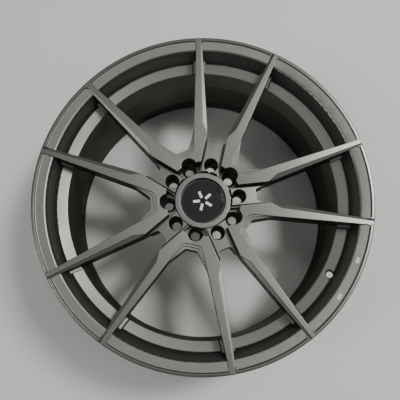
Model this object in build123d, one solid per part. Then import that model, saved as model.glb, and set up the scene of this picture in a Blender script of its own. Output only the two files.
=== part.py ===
"""Forged racing wheel rim, 19 x 8.5 inch, with ten spokes in five V pairs and a centre cap.

Millimetres and degrees. The wheel lies face up on its rear flange. The origin is where the
wheel's axis meets the plane of the rear flange, +Z points out through the front face, and +X
passes through the valve hole, on the axis of the first V pair.
"""
import math
import os

from build123d import *

os.makedirs("parts", exist_ok=True)

# Rim: bead seats, flanges and well.
bead_diameter = 487.4
seat_width = 215.9
flange_height = 17.5
flange_thickness = 12.55
flange_curl = 9.5
bead_fillet = 6.5
seat_length = 20.0
seat_taper = 5.0
hump_height = 1.3
hump_length = 6.0
barrel_drop = 6.7
barrel_wall = 4.6
barrel_start = 46.5
well_drop = 21.7
well_wall = 7.0
well_width = 34.0
well_front_depth = 55.0
well_blend = 16.0
barrel_step_depth = 60.0
barrel_step = 1.2
well_shoulder = 4.0
turn_round = 8.0
slope_round = 6.0
seat_round = 1.0

# Rim: front face between the spokes.
ring_width = 4.7
ring_height = 2.3
ring_slant = 1.3
lip_width = 16.5
lip_fall = 2.9
lip_round = 5.0
shelf_depth = 38.5
shelf_outer_inset = 11.7
shelf_tilt = 17.0
shelf_round = 2.5
edge_round = 1.7
rear_lip_inset = 7.6
rear_lip_depth = 26.0
rear_lip_round = 6.0

# Hub and bolt holes.
offset = 45.0
hub_radius = 70.0
hub_thickness = 26.5
bore_radius = 36.3
bore_depth = 16.0
collar_wall = 10.0
collar_height = 42.5
collar_round = 2.5
hub_edge_round = 0.9
bolt_count = 5
v_pcd = 112.0
n_pcd = 114.3
bolt_hole_radius = 7.35
seat_land = 14.5
seat_half_angle = 30.0
v_mouth_radius = 12.1
n_mouth_radius = 11.2

# Spokes.
spoke_angle = 22.0
root_radius = 58.8
root_height = 60.5
edge_start = 80.0
v_edge_start = 13.3
v_edge_tip = 4.6
n_edge_tip = 4.3
flank_end_w = 9.22
facet_lead = 10.6
facet_start_w = 9.6
kink_lead = 17.1
kink_w = 2.6
face_tip_w = 1.6
facet_step = 0.8
facet_tilt = 18.0
back_hub_rise = 3.0
back_mid_radius = 120.0
back_mid_rise = 17.5
back_mid_round = 40.0
back_rim_depth = 49.0
foot_width = 4.0
foot_height = 5.5
foot_blend = 2.2
corner_round = 5.0
pocket_start = 96.0
pocket_wall = 4.2
pocket_skin = 14.0
pocket_margin = 10.0
pocket_round = 2.5

# V window and its stepped border.
window_end = 82.0
window_merge_u = 112.0
window_slope = 39.1
window_round = 6.0
border_end = 77.7
border_merge_u = 108.0
border_slope = 32.8
border_round = 8.0
rim_border_end = 73.5
rim_border_round = 11.0
border_step = 2.2

# Web pads between the V pairs.
pad_half = 13.4
groove_width = 2.9
groove_depth = 9.0
pad_height = 48.5
pad_end = 84.5
pad_end_half = 9.5
pad_slope = 16.0
pad_round = 4.5

# Valve hole.
valve_radius = 5.65
valve_inset = 16.2
valve_tilt = 15.0
valve_chamfer = 0.8

# Centre cap.
cap_gap = 1.7
cap_seat_radius = 36.0
cap_seat_height = 33.5
cap_bore_radius = 30.0
cap_fit = 0.4
cap_head_height = 3.7
cap_plate = 1.5
cap_disc_wall = 1.1
cap_dome = 1.8
cap_disc_base = 1.6
cap_skirt_length = 17.0
cap_skirt_wall = 2.4
cap_slots = 6
cap_slot_width = 5.0
cap_slot_length = 13.0
wire_radius = 1.2
wire_inset = 3.0
wire_gap = 18.0
mark_bars = 5
mark_inner = 5.0
mark_length = 11.0
mark_width = 4.2
mark_depth = 0.6
mark_proud = 0.15

# Values worked out from those above.
width = seat_width + 2 * flange_thickness
bead_radius = bead_diameter / 2
flange_radius = bead_radius + flange_height
barrel_radius = bead_radius - barrel_drop
barrel_inner = barrel_radius - barrel_wall
well_radius = bead_radius - well_drop
well_inner = well_radius - well_wall
well_front = width - well_front_depth
well_rear = well_front - well_width
shelf_z = width - shelf_depth
ring_radius = flange_radius - ring_width
lip_inner = ring_radius - lip_width
shelf_outer = bead_radius - shelf_outer_inset
shelf_rise = (shelf_outer - well_inner) * math.tan(math.radians(shelf_tilt))
mount_z = width / 2 + offset
hub_top = mount_z + hub_thickness
collar_top = mount_z + collar_height
root_z = mount_z + root_height
pad_top = mount_z + pad_height
v_bolt_radius = v_pcd / 2
n_bolt_radius = n_pcd / 2
half_pitch = 180.0 / bolt_count
collar_radius = cap_seat_radius + collar_wall
flank_half = pad_half + groove_width
flank_angle = math.radians(half_pitch - spoke_angle)
kink_x = (flank_end_w + flank_half * math.cos(flank_angle)) / math.sin(flank_angle)
kink_start_u = kink_x * math.cos(flank_angle) + flank_half * math.sin(flank_angle)
facet_start_u = kink_start_u + facet_lead
kink_u = kink_start_u + kink_lead
face_slope = math.degrees(math.atan2(width - root_z, flange_radius - root_radius))
tall = 2 * width
far = 2 * flange_radius


def outline(*corners):
    """A face from corners, each (first, second, fillet radius)."""
    points = [corner[:2] for corner in corners]
    radii = [corner[2] for corner in corners]
    return make_face(FilletPolyline(points, radius=radii, close=True))


def turned(*corners):
    """A solid of revolution about the wheel's axis from corners, each (radius, height, fillet)."""
    return revolve(Plane.XZ * outline(*corners), Axis.Z)


def prism(face):
    """A face in plan, as a column through the whole height of the wheel."""
    return extrude(face, tall)


def disc(radius, low, high):
    return Pos(0, 0, low) * Cylinder(radius, high - low, align=(Align.CENTER, Align.CENTER, Align.MIN))


def around(part, first=0.0):
    """The part repeated once for each V pair, starting at an angle."""
    return [Rot(0, 0, first + 360.0 * k / bolt_count) * part for k in range(bolt_count)]


def spoke_point(along, across):
    """A point in the V pair's plan: along the upper spoke, and across it towards the V axis."""
    angle = math.radians(spoke_angle)
    x = along * math.cos(angle) + across * math.sin(angle)
    y = along * math.sin(angle) - across * math.cos(angle)
    return x, y


def notch_point(along, across):
    """A point in the V pair's plan: along the web pad's axis, and across it towards the V pair."""
    angle = math.radians(half_pitch)
    x = along * math.cos(angle) + across * math.sin(angle)
    y = along * math.sin(angle) - across * math.cos(angle)
    return x, y


def line_across(along, start, end):
    """An edge's distance from the spoke's centre line, straight from edge_start to the rim."""
    share = (along - edge_start) / (flange_radius - edge_start)
    return start + (end - start) * share


def v_edge(along):
    return spoke_point(along, line_across(along, v_edge_start, v_edge_tip))


def n_edge(along):
    share = (along - facet_start_u) / (flange_radius - facet_start_u)
    return spoke_point(along, -(facet_start_w + (n_edge_tip - facet_start_w) * share))


def spoke_edge_slope():
    """The slope in plan of a spoke's edge on the V side."""
    start, end = v_edge(edge_start), v_edge(flange_radius)
    return math.degrees(math.atan2(end[1] - start[1], end[0] - start[0]))


def crossing(x, point, slope):
    """Where a line through a point at a slope in degrees meets a given x."""
    return x, point[1] + (x - point[0]) * math.tan(math.radians(slope))


def face_plane(drop=0.0):
    """The upper spoke's flat front face, or a plane a little below it."""
    angle = math.radians(spoke_angle)
    root = (root_radius * math.cos(angle), root_radius * math.sin(angle), root_z - drop)
    tilt = math.radians(face_slope)
    along = (math.cos(angle) * math.cos(tilt), math.sin(angle) * math.cos(tilt), math.sin(tilt))
    up = (-math.cos(angle) * math.sin(tilt), -math.sin(angle) * math.sin(tilt), math.cos(tilt))
    return Plane(origin=root, x_dir=along, z_dir=up)


def facet_plane():
    """The bevelled strip along the spoke's notch side, hinged on its inner line and tilted down."""
    top = face_plane(facet_step)
    start = point_on(top, spoke_point(kink_u, -kink_w))
    end = point_on(top, spoke_point(flange_radius, -face_tip_w))
    line = Plane(origin=start, x_dir=end - start, z_dir=top.z_dir)
    tilt = math.radians(facet_tilt)
    outward = line.z_dir * math.cos(tilt) + line.y_dir * math.sin(tilt)
    return Plane(origin=start, x_dir=end - start, z_dir=outward)


def point_on(plane, spot):
    """The point of a plane straight above or below a spot in plan."""
    reach = plane.origin - Vector(spot[0], spot[1], 0)
    rise = plane.z_dir.dot(reach) / plane.z_dir.Z
    return Vector(spot[0], spot[1], rise)


def above(plane):
    """Everything above a plane, as a large block."""
    return plane * Box(far * 2, far * 2, width, align=(Align.CENTER, Align.CENTER, Align.MIN))


def below(plane):
    return plane * Box(far * 2, far * 2, tall, align=(Align.CENTER, Align.CENTER, Align.MAX))


def rim():
    """The whole rim as one turned ring, before it is divided."""
    seat_drop = seat_length * math.tan(math.radians(seat_taper))
    seat_end = bead_radius - seat_drop
    hump = seat_end + hump_height
    rear = flange_thickness + seat_length
    front = width - rear
    wall_shift = barrel_wall / 2
    rear_lip_radius = bead_radius - rear_lip_inset
    return turned(
        (flange_radius, 0, edge_round),
        (flange_radius, flange_thickness, flange_curl),
        (bead_radius, flange_thickness, bead_fillet),
        (seat_end, rear, seat_round),
        (hump, rear + hump_length / 2, seat_round),
        (hump, rear + hump_length, seat_round),
        (barrel_radius, barrel_start, slope_round),
        (barrel_radius, well_rear - well_blend, turn_round),
        (well_radius, well_rear, turn_round),
        (well_radius, well_front, turn_round),
        (hump, front - hump_length, 2 * seat_round),
        (hump, front - hump_length / 2, seat_round),
        (seat_end, front, seat_round),
        (bead_radius, width - flange_thickness, bead_fillet),
        (flange_radius, width - flange_thickness, flange_curl),
        (flange_radius, width, edge_round),
        (ring_radius, width, edge_round / 2),
        (ring_radius - ring_slant, width - ring_height, edge_round),
        (lip_inner, width - ring_height - lip_fall, lip_round),
        (shelf_outer, shelf_z + shelf_rise, shelf_round),
        (well_inner, shelf_z, shelf_round),
        (well_inner, width - barrel_step_depth, 0),
        (well_inner + barrel_step, width - barrel_step_depth - barrel_step, 0),
        (well_inner + barrel_step, well_rear - wall_shift, turn_round),
        (barrel_inner, well_rear - well_blend - wall_shift, turn_round),
        (barrel_inner, barrel_start - wall_shift, slope_round),
        (rear_lip_radius, rear_lip_depth, slope_round),
        (rear_lip_radius, 0, rear_lip_round),
    )


def spoke_zone():
    """Where spokes and pads may be: above the hub's flange, ahead of the curved back, inside the rim."""
    lip_z = width - ring_height - lip_fall
    return turned(
        (collar_radius, hub_top, 0),
        (hub_radius, hub_top, 0),
        (hub_radius, mount_z + back_hub_rise, 0),
        (back_mid_radius, mount_z + back_mid_rise, back_mid_round),
        (well_inner, width - back_rim_depth, 0),
        (well_inner + well_wall / 2, width - back_rim_depth, 0),
        (well_inner + well_wall / 2, shelf_z - 1, 0),
        (shelf_outer + edge_round, shelf_z - 1, 0),
        (lip_inner + edge_round, lip_z - edge_round, 0),
        (ring_radius, width - ring_height - edge_round, 0),
        (flange_radius, width - ring_height, 0),
        (flange_radius, width, edge_round),
        (flange_radius - 3 * edge_round, width, 0),
        (collar_radius, width, 0),
    )


def spoke_plan():
    """Plan of the upper half of a V pair, from the hub to the rim, out to the full opening edge."""
    merge = v_edge(window_merge_u)
    corner = crossing(window_end, merge, window_slope)
    return outline(
        (collar_radius / 2, 0, 0),
        (window_end, 0, 0),
        (*corner, window_round),
        (*merge, 0),
        (*v_edge(flange_radius + ring_width), 0),
        (*n_edge(flange_radius + ring_width), 0),
        (*n_edge(facet_start_u), 0),
        (*notch_point(kink_x, flank_half), 0),
        (*notch_point(collar_radius / 2, flank_half), 0),
    )


def border_plan(end, merge_u, slope, rounding):
    """Plan of one step of the V window's border, over the opening and inwards of it."""
    merge = v_edge(merge_u)
    corner = crossing(end, merge, slope)
    return outline((end, 0, 0), (*corner, rounding), (*merge, 0), (merge[0], 0, 0))


def corner_webs(plan):
    """The rounded corners where a spoke's flanks meet the outer ring, in plan."""
    ring = Circle(flange_radius + 2 * ring_width) - Circle(ring_radius)
    joined = Sketch() + [plan + ring]
    corners = [
        vertex
        for vertex in joined.vertices()
        if abs(math.hypot(vertex.X, vertex.Y) - ring_radius) < 0.01 and vertex.X > 0
    ]
    return fillet(corners, corner_round) - ring - plan


def foot(plan_side):
    """A raised foot beside a spoke, where its flank stands on the sloping shelf."""
    inner, outer = well_inner, shelf_outer + lip_round
    edge = {"v": v_edge, "n": n_edge}[plan_side]
    reach = {"v": 1, "n": -1}[plan_side]
    angle = math.radians(spoke_angle)
    shift = (reach * math.sin(angle), -reach * math.cos(angle))
    shelf_edge = (well_inner * math.cos(angle), well_inner * math.sin(angle), shelf_z)
    hinge = Axis(shelf_edge, (-math.sin(angle), math.cos(angle), 0))

    def beside(along, distance):
        x, y = edge(along)
        return x + shift[0] * distance, y + shift[1] * distance, 0

    def plate(distance):
        return outline(
            beside(inner - lip_round, -1),
            beside(inner - lip_round, distance),
            beside(outer, distance),
            beside(outer, -1),
        )

    step = Pos(0, 0, shelf_z - 1) * extrude(plate(foot_width), foot_height + 1)
    blend = Pos(0, 0, shelf_z) * extrude(plate(foot_width + foot_blend), foot_blend, taper=45)
    ring = disc(outer, 0, tall) - disc(inner, -1, tall + 1)
    return (step + blend).rotate(hinge, -shelf_tilt) & ring


def back_pocket():
    """The tapered pocket milled into the back of the upper spoke."""
    start, end = pocket_start, well_inner - pocket_margin

    def inset(along, edge, sign):
        x, y = edge(along)
        angle = math.radians(spoke_angle)
        return x - sign * math.sin(angle) * pocket_wall, y + sign * math.cos(angle) * pocket_wall

    start_n = max(start, facet_start_u)
    plan = outline(
        (*inset(window_merge_u, v_edge, 1), pocket_round),
        (*inset(end, v_edge, 1), pocket_round),
        (*inset(end, n_edge, -1), pocket_round),
        (*inset(start_n, n_edge, -1), pocket_round),
    )
    return prism(plan) & below(face_plane(pocket_skin))


def bolt_cutter(radius, mouth):
    """A bolt hole: through hole, conical seat and the wide mouth above it."""
    seat = mount_z + seat_land
    cone_height = (mouth - bolt_hole_radius) / math.tan(math.radians(seat_half_angle))
    hole = disc(bolt_hole_radius, -1, seat + 1)
    cone = Pos(0, 0, seat) * Cone(
        bolt_hole_radius, mouth, cone_height, align=(Align.CENTER, Align.CENTER, Align.MIN)
    )
    return Pos(radius, 0, 0) * (hole + cone + disc(mouth, seat + cone_height, tall))


def valve_cutter():
    """The valve hole, leaning outwards from the shelf to the well, with a small chamfer."""
    shelf_mid = shelf_z + (bead_radius - valve_inset - well_inner) * math.tan(math.radians(shelf_tilt))
    place = Pos(bead_radius - valve_inset, 0, shelf_mid) * Rot(0, 180 - valve_tilt, 0)
    hole = Cylinder(valve_radius, 2 * shelf_depth)
    sink = Cone(
        valve_radius + 3 * valve_chamfer, valve_radius, 3 * valve_chamfer,
        align=(Align.CENTER, Align.CENTER, Align.MIN),
    )
    return place * (hole + Pos(0, 0, -valve_chamfer) * sink)


def spoke_pair(zone, body, v_hole):
    """One V pair: two spokes flush around a bolt hole, with the stepped window border between them."""
    plan = spoke_plan()
    half = prism(plan) - above(face_plane())
    strip = outline(
        (*notch_point(kink_x, flank_half), 0),
        (*spoke_point(kink_u, -kink_w), 0),
        (*spoke_point(flange_radius + ring_width, -face_tip_w), 0),
        (*spoke_point(flange_radius + ring_width, -3 * facet_start_w), 0),
        (*spoke_point(kink_x, -3 * facet_start_w), 0),
    )
    half -= prism(strip) & above(facet_plane())
    steps = (
        (rim_border_end, window_merge_u, spoke_edge_slope(), rim_border_round),
        (border_end, border_merge_u, border_slope, border_round),
    )
    for count, step in enumerate(steps, start=1):
        half -= prism(border_plan(*step)) & above(face_plane(count * border_step))
    half -= back_pocket()
    half += prism(corner_webs(plan)) & disc(far, width - ring_height - lip_fall, width)
    half += foot("v") + foot("n")
    half = half & zone
    half -= disc(root_radius, 0, tall)
    pair = half + mirror(half, Plane.XZ)
    return pair - v_hole - body


def web_pad(zone, n_hole):
    """The recessed pad between two V pairs, with a groove along each side."""
    wide = pad_end + (pad_half - pad_end_half) / math.tan(math.radians(pad_slope))
    upper = outline(
        (collar_radius / 2, -pad_half, 0),
        (wide, -pad_half, 0),
        (pad_end, -pad_end_half, pad_round),
        (pad_end, pad_end_half, pad_round),
        (wide, pad_half, 0),
        (collar_radius / 2, pad_half, 0),
    )
    lower = outline(
        (collar_radius / 2, -flank_half, 0),
        (kink_x - groove_width, -flank_half, 0),
        (wide, -pad_half, 0),
        (pad_end, -pad_end_half, pad_round),
        (pad_end, pad_end_half, pad_round),
        (wide, pad_half, 0),
        (kink_x - groove_width, flank_half, 0),
        (collar_radius / 2, flank_half, 0),
    )
    pad = extrude(upper, pad_top) + extrude(lower, pad_top - groove_depth)
    pad = pad & zone
    return Rot(0, 0, half_pitch) * (pad - n_hole)


def hub(bolt_holes):
    """The hub: mounting flange, bore, collar and the seat for the centre cap."""
    cap_seat = mount_z + cap_seat_height
    body = turned(
        (bore_radius, mount_z, hub_edge_round),
        (hub_radius, mount_z, 0),
        (hub_radius, hub_top, 0),
        (collar_radius, hub_top, 0),
        (collar_radius, collar_top, collar_round),
        (cap_seat_radius, collar_top, hub_edge_round),
        (cap_seat_radius, cap_seat, 0),
        (cap_bore_radius, cap_seat, 0),
        (cap_bore_radius, mount_z + bore_depth, 0),
        (bore_radius, mount_z + bore_depth, 0),
    )
    return body - bolt_holes


def centre_cap():
    """The cap's body, retaining wire, domed disc and inlaid mark."""
    seat = mount_z + cap_seat_height
    head_radius = cap_seat_radius - cap_gap
    skirt = cap_bore_radius - cap_fit
    inner = skirt - cap_skirt_wall
    bottom = seat - cap_skirt_length
    disc_radius = head_radius - cap_disc_wall
    disc_z = seat + cap_plate
    body = turned(
        (0, seat, 0),
        (inner, seat, 0),
        (inner, bottom, 0),
        (skirt, bottom, cap_skirt_wall / 3),
        (skirt, seat, 0),
        (head_radius, seat, 0),
        (head_radius, seat + cap_head_height, cap_disc_wall / 2),
        (disc_radius, seat + cap_head_height, 0),
        (disc_radius, disc_z, 0),
        (0, disc_z, 0),
    )
    slot = Pos(skirt, 0, bottom) * Box(
        skirt, cap_slot_width, cap_slot_length, align=(Align.CENTER, Align.CENTER, Align.MIN)
    )
    body -= [Rot(0, 0, 360.0 * k / cap_slots) * slot for k in range(cap_slots)]
    wire_z = bottom + wire_inset
    groove = Pos(0, 0, wire_z) * Torus(inner, wire_radius)
    body -= groove
    opening = Pos(inner, 0, wire_z) * Box(wire_gap, wire_gap, 4 * wire_radius)
    wire = groove - opening

    rim_z = disc_z + cap_disc_base
    top_z = rim_z + cap_dome
    dome_radius = (disc_radius ** 2 + cap_dome ** 2) / (2 * cap_dome)
    ball = Pos(0, 0, top_z - dome_radius) * Sphere(dome_radius)
    face = disc(disc_radius, disc_z, top_z) & ball
    bar = Pos(mark_inner, 0, 0) * Box(
        mark_length, mark_width, tall, align=(Align.MIN, Align.CENTER, Align.CENTER)
    )
    bars = [Rot(0, 0, 360.0 * k / mark_bars) * bar for k in range(mark_bars)]
    shell = Pos(0, 0, mark_proud) * ball - Pos(0, 0, -mark_depth) * ball
    mark = shell & (Part() + bars) & disc(disc_radius, disc_z, tall)
    face -= mark
    return {
        "cap_body": body,
        "cap_retaining_ring": wire,
        "cap_disc": face,
        "cap_emblem": mark,
    }


def main():
    v_hole = bolt_cutter(v_bolt_radius, v_mouth_radius)
    n_hole = bolt_cutter(n_bolt_radius, n_mouth_radius)
    zone = spoke_zone()
    whole_rim = rim() - valve_cutter()
    plan = spoke_plan()
    tips = prism(plan + mirror(plan, Plane.XZ)) & disc(far, width - ring_height, tall)
    tips -= disc(lip_inner, 0, tall)
    rim_body = whole_rim - around(tips)

    nodes = {}
    cuts = (
        0,
        barrel_start,
        well_rear - well_shoulder / 2,
        well_front + well_shoulder,
        width - flange_thickness,
        tall,
    )
    names = ("rear_flange", "barrel", "drop_centre", "front_seat", "outer_lip")
    for name, low, high in zip(names, cuts, cuts[1:]):
        nodes[name] = rim_body & disc(far, low, high)
    nodes["hub"] = hub(around(v_hole) + around(n_hole, half_pitch))
    pair = spoke_pair(zone, rim_body, v_hole)
    for count, part in enumerate(around(pair), start=1):
        nodes[f"spoke_pair_{count}"] = part
    pad = web_pad(zone, n_hole)
    for count, part in enumerate(around(pad), start=1):
        nodes[f"web_pad_{count}"] = part
    nodes.update(centre_cap())

    for name, part in nodes.items():
        export_step(part, f"parts/{name}.step")


main()
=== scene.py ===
"""A forged racing wheel rim with its centre cap, lying face up on a pale floor."""

import math

import bmesh
import bpy
from mathutils import Matrix, Vector
from mathutils.bvhtree import BVHTree


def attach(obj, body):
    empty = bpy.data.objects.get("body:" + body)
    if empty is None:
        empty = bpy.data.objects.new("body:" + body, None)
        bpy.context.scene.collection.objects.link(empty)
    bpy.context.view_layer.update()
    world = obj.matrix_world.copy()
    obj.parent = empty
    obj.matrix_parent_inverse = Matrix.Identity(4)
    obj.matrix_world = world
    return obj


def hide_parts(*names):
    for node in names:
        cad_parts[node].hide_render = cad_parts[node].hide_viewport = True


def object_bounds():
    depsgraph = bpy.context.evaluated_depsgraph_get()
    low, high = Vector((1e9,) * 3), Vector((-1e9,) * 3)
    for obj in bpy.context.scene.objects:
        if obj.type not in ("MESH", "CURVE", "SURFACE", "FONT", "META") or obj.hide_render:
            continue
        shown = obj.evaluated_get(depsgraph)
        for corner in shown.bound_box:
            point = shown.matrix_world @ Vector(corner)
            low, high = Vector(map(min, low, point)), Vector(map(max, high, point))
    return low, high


MM = 0.001

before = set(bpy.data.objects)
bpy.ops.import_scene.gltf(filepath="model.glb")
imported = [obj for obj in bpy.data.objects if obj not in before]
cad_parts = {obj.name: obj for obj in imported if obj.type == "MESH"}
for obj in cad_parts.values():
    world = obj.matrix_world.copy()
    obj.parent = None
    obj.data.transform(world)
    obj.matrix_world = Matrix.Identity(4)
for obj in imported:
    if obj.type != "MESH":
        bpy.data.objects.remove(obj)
cad_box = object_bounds()

FRONT = cad_box[1][2]

# The bodies that the pieces ride on.
WHEEL = "wheel"
CAP = "centre_cap"

# The plain rings at the back. Their section is taken at an azimuth with nothing in the way.
RINGS = ("rear_flange", "barrel", "drop_centre")
RING_STEPS = 288
PLAIN_AZIMUTH = 54.0

# The metal regions that are not plain rings.
CENTRE = ("spoke_pair", "web_pad", "hub", "front_seat", "outer_lip")

# Mesh cleaning. Faces that meet at more than SHARP are creased, and those within FLAT are one face.
# Points nearer than CUT lie in the cutting plane, nearer than WELD are one point, and an edge or a
# sliver under SLIVER is closed.
SHARP = math.radians(28)
FLAT = math.radians(0.35)
CUT = 0.001 * MM
WELD = 0.002 * MM
SLIVER = 0.05 * MM

# How far the paint rounds an edge.
EDGE_ROUND = 1.2 * MM

# The printed marks on the lip: where each row is in degrees, its radius and the pitch of its bars,
# a bar's length, width and thickness, and the round of its corners.
MARK_AZIMUTHS = (8.0, -6.0)
MARK_RADIUS = 249.5 * MM
MARK_PITCH = 3.2 * MM
MARK_BAR = (5.0 * MM, 2.0 * MM, 0.24 * MM)
MARK_CORNER = 0.4 * MM
UPRIGHT = 0.9

# The view: its turn about the wheel's axis, its tilt and roll in degrees, where the lens is from
# the middle of the front face, and the focal length and sensor width in millimetres.
VIEW_TURN = 30.65
VIEW_TILT = 9.92
VIEW_ROLL = -0.37
VIEW_SIDE = -9.5 * MM
VIEW_DOWN = -122.8 * MM
VIEW_HEIGHT = 670.8 * MM
VIEW_LENS = 40.46
VIEW_SENSOR = 36

# Softboxes: name, sideways over upwards slope, height in metres, size in metres, watts.
SOFTBOXES = (
    ("overhead", (-0.03, 0.16), 2.6, (1.25, 1.7), 5.0),
    ("key", (0.42, 0.22), 2.4, (0.4, 0.55), 42),
    ("right_side", (1.0, -0.15), 1.5, (0.5, 1.0), 3.5),
    ("left_side", (-0.68, -0.2), 1.6, (0.3, 0.7), 6),
)
ROOM_LIGHT = 0.3
FLOOR_REACH = 4.0


# Helpers for colours and shader nodes.

def srgb(code):
    """A six-digit sRGB hex colour as linear RGBA."""
    channels = [int(code[k:k + 2], 16) / 255 for k in (0, 2, 4)]
    return [c / 12.92 if c <= 0.04045 else ((c + 0.055) / 1.055) ** 2.4 for c in channels] + [1]


def add(tree, kind, inputs=None, **settings):
    """Adds a shader node. Settings are its properties; inputs are values or sockets to link."""
    made = tree.nodes.new(kind)
    for name, value in settings.items():
        setattr(made, name, value)
    for name, value in (inputs or {}).items():
        if isinstance(value, bpy.types.NodeSocket):
            tree.links.new(value, made.inputs[name])
        else:
            made.inputs[name].default_value = value
    return made


def material(name, **surface):
    """A new material with a Principled surface, and the parts that its patterns need."""
    made = bpy.data.materials.new(name)
    made.use_nodes = True
    tree = made.node_tree
    shader = tree.nodes["Principled BSDF"]
    for socket, value in surface.items():
        shader.inputs[socket.replace("_", " ")].default_value = value
    place = add(tree, "ShaderNodeTexCoord").outputs["Object"]
    return made, tree, shader, place


def grain(tree, place, size, detail=2.0, stretch=None):
    """Noise whose features are about the given size across, in metres."""
    if stretch:
        scaled = add(tree, "ShaderNodeMapping", {"Vector": place, "Scale": stretch})
        place = scaled.outputs["Vector"]
    noise = add(tree, "ShaderNodeTexNoise", {"Vector": place, "Scale": 1 / size, "Detail": detail})
    return noise.outputs["Fac"]


def spread(tree, value, low_value, high_value):
    """Maps the middle of a noise, 0.3 to 0.7, to a range."""
    limits = {"From Min": 0.3, "From Max": 0.7, "To Min": low_value, "To Max": high_value}
    return add(tree, "ShaderNodeMapRange", {"Value": value, **limits}).outputs["Result"]


def bump(tree, shader, height, depth, under=None):
    """Raises the surface by a height of 0 to 1 times a depth in metres."""
    inputs = {"Height": height, "Distance": depth, "Strength": 1.0}
    if under:
        inputs["Normal"] = under
    made = add(tree, "ShaderNodeBump", inputs)
    tree.links.new(made.outputs["Normal"], shader.inputs["Normal"])
    return made.outputs["Normal"]


def blend(tree, shader, factor, first, second):
    """Links the base colour to a mix of two hex colours."""
    mix = add(tree, "ShaderNodeMix", {"Factor": factor}, data_type="RGBA")
    for socket, code in zip((s for s in mix.inputs if s.type == "RGBA"), (first, second)):
        socket.default_value = srgb(code)
    colour = next(s for s in mix.outputs if s.type == "RGBA")
    tree.links.new(colour, shader.inputs["Base Color"])


# Materials.

def satin_wheel_paint():
    """Sprayed gunmetal basecoat under a satin clear: a soft grey sheen with aluminium flake, slight
    orange peel, and edges that the paint has drawn round. Real flake is under 0.1 mm, and is drawn
    coarser so that it shows."""
    surface = {"Metallic": 0.88, "Specular_Tint": srgb("7a7977")}
    made, tree, shader, place = material("gunmetal_wheel_paint_sprayed", **surface)
    blend(tree, shader, grain(tree, place, 45 * MM, 3.0), "6b6a66", "74726e")
    flake = grain(tree, place, 0.9 * MM, 1.0)
    tree.links.new(spread(tree, flake, 0.31, 0.38), shader.inputs["Roughness"])
    rounded = add(tree, "ShaderNodeBevel", {"Radius": EDGE_ROUND}, samples=6).outputs["Normal"]
    peel = bump(tree, shader, grain(tree, place, 5 * MM, 1.0), 0.012 * MM, rounded)
    bump(tree, shader, flake, 0.006 * MM, peel)
    return made


def black_nylon():
    """Injection moulded glass-filled nylon: near black, with a spark-eroded grain. The real grain is
    about 0.1 mm, and is drawn coarser so that it shows."""
    made, tree, shader, place = material("black_nylon_moulded", Base_Color=srgb("1a1a1b"))
    tree.links.new(spread(tree, grain(tree, place, 6 * MM), 0.38, 0.5), shader.inputs["Roughness"])
    bump(tree, shader, grain(tree, place, 0.5 * MM, 1.0), 0.01 * MM)
    return made


def black_acrylic():
    """Moulded black acrylic dome: glossy and deep black, with faint wipe marks."""
    surface = {"IOR": 1.4, "Base_Color": srgb("08090b")}
    made, tree, shader, place = material("black_acrylic_polished", **surface)
    wipe = grain(tree, place, 3 * MM, 4.0, stretch=(1.0, 5.0, 1.0))
    tree.links.new(spread(tree, wipe, 0.05, 0.16), shader.inputs["Roughness"])
    return made


def white_inlay():
    """Screen-printed white ink on the dome and the lip: flat, slightly mottled, softly glossy."""
    surface = {"Coat_Weight": 0.6, "Coat_Roughness": 0.08}
    made, tree, shader, place = material("white_print_screened", **surface)
    blend(tree, shader, grain(tree, place, 2 * MM), "d9dadb", "e6e6e4")
    tree.links.new(spread(tree, grain(tree, place, 1 * MM), 0.3, 0.4), shader.inputs["Roughness"])
    return made


def spring_wire():
    """Drawn spring steel: bright grey metal with draw lines, which are drawn coarser than the real
    ones so that they show."""
    surface = {"Metallic": 1.0, "Base_Color": srgb("a9a8a5")}
    made, tree, shader, place = material("spring_steel_drawn", **surface)
    lines = grain(tree, place, 0.6 * MM, 2.0, stretch=(1.0, 1.0, 6.0))
    tree.links.new(spread(tree, lines, 0.25, 0.42), shader.inputs["Roughness"])
    return made


def pale_floor():
    """A plain pale studio floor."""
    return material("studio_floor_plain", Roughness=0.85, Base_Color=srgb("e2dfda"))[0]


PAINT = satin_wheel_paint()
NYLON = black_nylon()
ACRYLIC = black_acrylic()
INLAY = white_inlay()
WIRE = spring_wire()
FLOOR = pale_floor()


# Mesh helpers.

def merged(node, sliver=0.0):
    """A bmesh copy of a CAD node, with its triangles joined and its flat faces whole, and any edge
    or sliver under the given size closed."""
    shape = bmesh.new()
    shape.from_mesh(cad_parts[node].data)
    bmesh.ops.remove_doubles(shape, verts=shape.verts, dist=WELD)
    bmesh.ops.dissolve_limit(shape, angle_limit=FLAT, verts=shape.verts, edges=shape.edges)
    if sliver:
        bmesh.ops.dissolve_degenerate(shape, edges=shape.edges, dist=sliver)
        bmesh.ops.remove_doubles(shape, verts=shape.verts, dist=sliver)
        bmesh.ops.dissolve_limit(shape, angle_limit=2 * FLAT, verts=shape.verts, edges=shape.edges)
    return shape


def piece(name, shape, skin, body, replaced):
    """Turns a bmesh into a piece that rides on a body and stands for CAD nodes, if any."""
    mesh = bpy.data.meshes.new(name)
    shape.to_mesh(mesh)
    shape.free()
    mesh.materials.append(skin)
    made = bpy.data.objects.new(name, mesh)
    bpy.context.scene.collection.objects.link(made)
    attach(made, body)
    if replaced:
        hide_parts(*replaced)
    return made


def even_shading(made):
    """Keeps large flat faces flat beside the small curved ones that they run into."""
    shading = made.modifiers.new("even_shading", "WEIGHTED_NORMAL")
    shading.keep_sharp = True


def crease(shape):
    """Smooth shading, broken at the sharp edges."""
    for face in shape.faces:
        face.smooth = True
    for edge in shape.edges:
        edge.smooth = len(edge.link_faces) == 2 and edge.calc_face_angle() < SHARP


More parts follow.
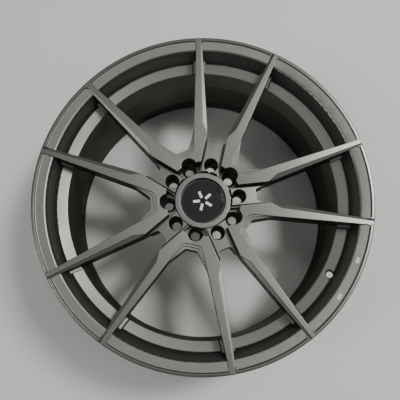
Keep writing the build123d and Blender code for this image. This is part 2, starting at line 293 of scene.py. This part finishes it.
def stand_in(node, shape, finish, skin, body):
    """A creased and evenly shaded piece in place of a CAD node."""
    crease(shape)
    even_shading(piece(f"{node}_{finish}", shape, skin, body, [node]))


def painted(node, shape):
    """A painted piece of the wheel in place of a CAD node."""
    stand_in(node, shape, "painted", PAINT, WHEEL)


# The rim, its spokes and its marks.

def ring(node):
    """A plain ring: the section of the CAD node at a clear azimuth, turned in fine steps."""
    shape = merged(node)
    turn = Matrix.Rotation(math.radians(PLAIN_AZIMUTH), 3, "Z")
    outward, across = turn @ Vector((1, 0, 0)), turn @ Vector((0, 1, 0))
    geometry = shape.verts[:] + shape.edges[:] + shape.faces[:]
    cut = bmesh.ops.bisect_plane(
        shape, geom=geometry, dist=CUT, plane_co=(0, 0, 0), plane_no=across,
    )
    section = [e for e in cut["geom_cut"] if isinstance(e, bmesh.types.BMEdge)]
    kept = {v for e in section for v in e.verts if v.co.dot(outward) > 0}
    bmesh.ops.delete(shape, geom=[v for v in shape.verts if v not in kept], context="VERTS")
    bmesh.ops.delete(shape, geom=shape.faces[:], context="FACES_KEEP_BOUNDARY")
    profile = shape.verts[:] + shape.edges[:]
    bmesh.ops.spin(
        shape, geom=profile, cent=(0, 0, 0), axis=(0, 0, 1), dvec=(0, 0, 0),
        angle=2 * math.pi, steps=RING_STEPS, use_merge=True, use_normal_flip=False,
    )
    bmesh.ops.remove_doubles(shape, verts=shape.verts, dist=WELD)
    bmesh.ops.recalc_face_normals(shape, faces=shape.faces)
    return shape


def rim_rings():
    """The rear flange, the barrel and the drop centre."""
    for node in RINGS:
        painted(node, ring(node))


def spoked_centre():
    """The front rings that carry the spokes, the hub, the spoke pairs and the pads between them."""
    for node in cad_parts:
        if node.startswith(CENTRE):
            painted(node, merged(node, SLIVER))


def lip_marks():
    """Two small marks printed on the lip, each a row of three plain bars laid on its slope."""
    surface = merged("outer_lip")
    lip = BVHTree.FromBMesh(surface)
    surface.free()
    shape = bmesh.new()
    for azimuth in MARK_AZIMUTHS:
        for step in (-1, 0, 1):
            turn = Matrix.Rotation(math.radians(azimuth) + step * MARK_PITCH / MARK_RADIUS, 4, "Z")
            above = turn @ Vector((MARK_RADIUS, 0, 2 * FRONT))
            spot, slope, _, _ = lip.ray_cast(above, (0, 0, -1))
            lie = Vector((0, 0, 1)).rotation_difference(slope).to_matrix().to_4x4()
            place = Matrix.Translation(spot) @ lie @ turn @ Matrix.Diagonal((*MARK_BAR, 1))
            bar = set(bmesh.ops.create_cube(shape, size=1.0, matrix=place)["verts"])
            upright = [
                e for e in shape.edges if e.verts[0] in bar
                and abs((e.verts[0].co - e.verts[1].co).normalized().z) > UPRIGHT
            ]
            bmesh.ops.bevel(
                shape, geom=upright, offset=MARK_CORNER, offset_type="OFFSET", affect="EDGES",
                segments=3, profile=0.5, material=-1,
            )
    crease(shape)
    piece("lip_marks_printed", shape, INLAY, WHEEL, [])


# The centre cap.

def centre_cap():
    """The cup, its domed face, the mark in it and the wire that springs its legs."""
    finishes = {
        "cap_body": (NYLON, "cap_nylon"),
        "cap_disc": (ACRYLIC, "cap_acrylic"),
        "cap_emblem": (INLAY, "mark_inlay"),
        "cap_retaining_ring": (WIRE, "spring_steel"),
    }
    for node, (skin, slot) in finishes.items():
        stand_in(node, merged(node), "finished", skin, CAP)


# The stage: floor, lights and camera.

def turned(x, y, z):
    """A direction or place seen upright in the view, turned to the wheel's own frame."""
    return Matrix.Rotation(math.radians(VIEW_TURN), 3, "Z") @ Vector((x, y, z))


def camera():
    """The camera above the wheel, a little off its axis."""
    lens = bpy.data.cameras.new("view")
    lens.lens = VIEW_LENS
    lens.sensor_width = VIEW_SENSOR
    made = bpy.data.objects.new("view", lens)
    made.matrix_world = (
        Matrix.Translation(turned(VIEW_SIDE, VIEW_DOWN, 0) + Vector((0, 0, FRONT + VIEW_HEIGHT)))
        @ Matrix.Rotation(math.radians(VIEW_TURN), 4, "Z")
        @ Matrix.Rotation(math.radians(VIEW_TILT), 4, "X")
        @ Matrix.Rotation(math.radians(VIEW_ROLL), 4, "Y")
    )
    bpy.context.scene.collection.objects.link(made)
    bpy.context.scene.camera = made


def softbox(name, slope, height, size, power):
    """A soft rectangular lamp above the wheel, turned to face it."""
    lamp = bpy.data.lights.new(name, "AREA")
    lamp.shape = "RECTANGLE"
    lamp.size, lamp.size_y = size
    lamp.energy = power
    made = bpy.data.objects.new(name, lamp)
    place = turned(slope[0] * height, slope[1] * height, height)
    made.location = place
    aim = Vector((0, 0, FRONT)) - place
    made.rotation_euler = aim.to_track_quat("-Z", "Y").to_euler()
    bpy.context.scene.collection.objects.link(made)


def stage():
    """The floor, the light of the room and the softboxes."""
    shape = bmesh.new()
    bmesh.ops.create_grid(shape, x_segments=1, y_segments=1, size=FLOOR_REACH)
    mesh = bpy.data.meshes.new("floor")
    shape.to_mesh(mesh)
    shape.free()
    mesh.materials.append(FLOOR)
    floor = bpy.data.objects.new("floor", mesh)
    bpy.context.scene.collection.objects.link(floor)
    world = bpy.data.worlds.new("studio")
    world.use_nodes = True
    sky = world.node_tree.nodes["Background"]
    sky.inputs["Color"].default_value = srgb("d8dade")
    sky.inputs["Strength"].default_value = ROOM_LIGHT
    bpy.context.scene.world = world
    for box in SOFTBOXES:
        softbox(*box)


rim_rings()
spoked_centre()
lip_marks()
centre_cap()
stage()
camera()
